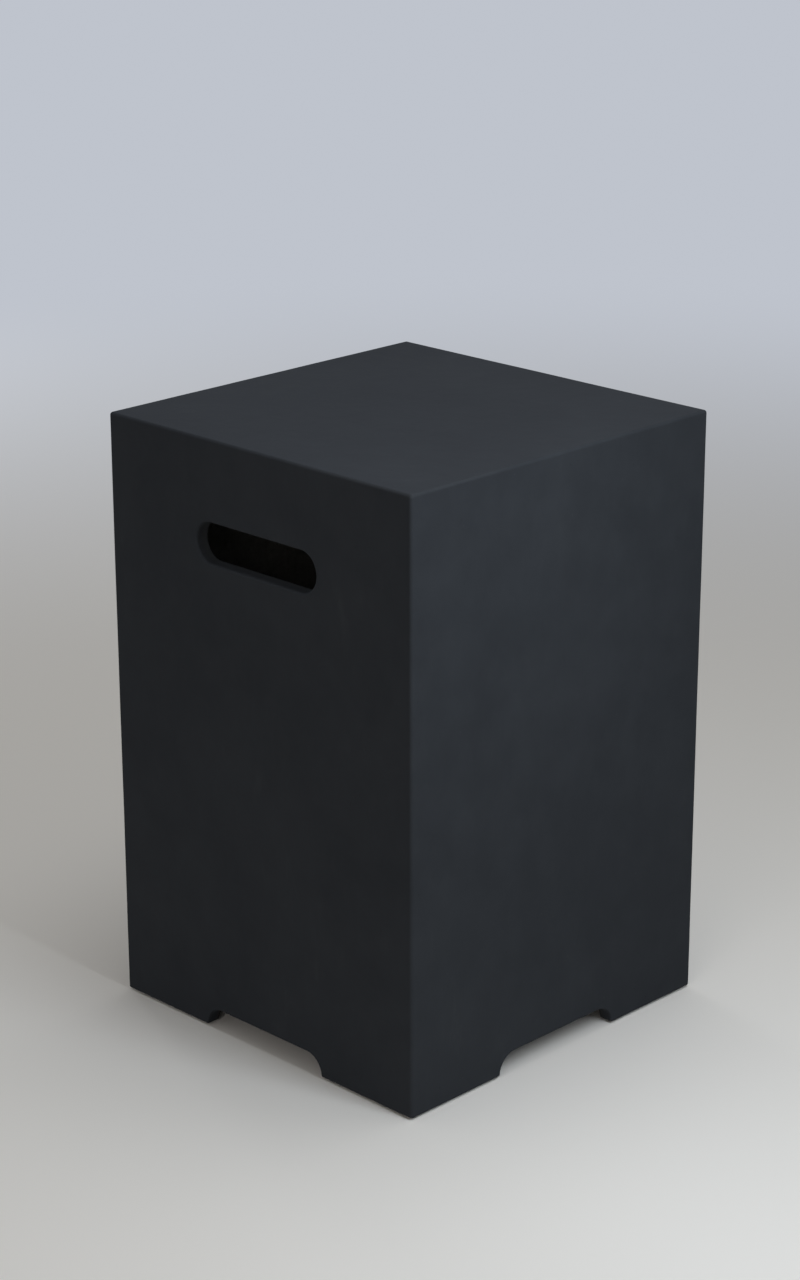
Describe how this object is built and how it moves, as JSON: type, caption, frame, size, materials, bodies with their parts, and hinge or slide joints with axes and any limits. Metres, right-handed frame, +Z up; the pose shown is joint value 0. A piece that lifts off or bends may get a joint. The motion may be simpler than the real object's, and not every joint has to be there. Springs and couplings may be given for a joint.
{
  "type": "propane tank cover",
  "caption": "Square upright cast cover, open below, that hides an upright gas bottle, with hand slots near the top and hose notches along its foot.",
  "frame": {"origin": "on the ground under the middle of the cover, level with the soles of its pads", "axes": "+Z up to the top face; the front face, with a hand slot, looks along -Y; +X to the right of someone facing the front"},
  "size_m": [0.4, 0.4, 0.6],
  "materials": {
    "cast_shell": "smooth matt charcoal cast surface, faintly cloudy, rougher inside",
    "glass_mesh": "open woven glass-fibre mesh bedded in thin grey slurry",
    "pad_rubber": "matt black moulded rubber",
    "washer_steel": "bright zinc-plated steel",
    "screw_steel": "stainless steel, satin",
    "plug_nylon": "natural nylon"
  },
  "bodies": {
    "root": {"shell": "cast_shell", "mesh_top": "glass_mesh", "mesh_front": "glass_mesh", "mesh_right": "glass_mesh", "mesh_back": "glass_mesh", "mesh_left": "glass_mesh", "mesh_strip_back_right": "glass_mesh", "mesh_strip_back_left": "glass_mesh", "mesh_strip_front_left": "glass_mesh", "mesh_strip_front_right": "glass_mesh", "foot_pad_back_right": "pad_rubber", "foot_pad_back_left": "pad_rubber", "foot_pad_front_left": "pad_rubber", "foot_pad_front_right": "pad_rubber", "foot_washer_back_right": "washer_steel", "foot_washer_back_left": "washer_steel", "foot_washer_front_left": "washer_steel", "foot_washer_front_right": "washer_steel", "foot_screw_back_right": "screw_steel", "foot_screw_back_left": "screw_steel", "foot_screw_front_left": "screw_steel", "foot_screw_front_right": "screw_steel", "foot_plug_back_right": "plug_nylon", "foot_plug_back_left": "plug_nylon", "foot_plug_front_left": "plug_nylon", "foot_plug_front_right": "plug_nylon"}
  },
  "joints": []
}
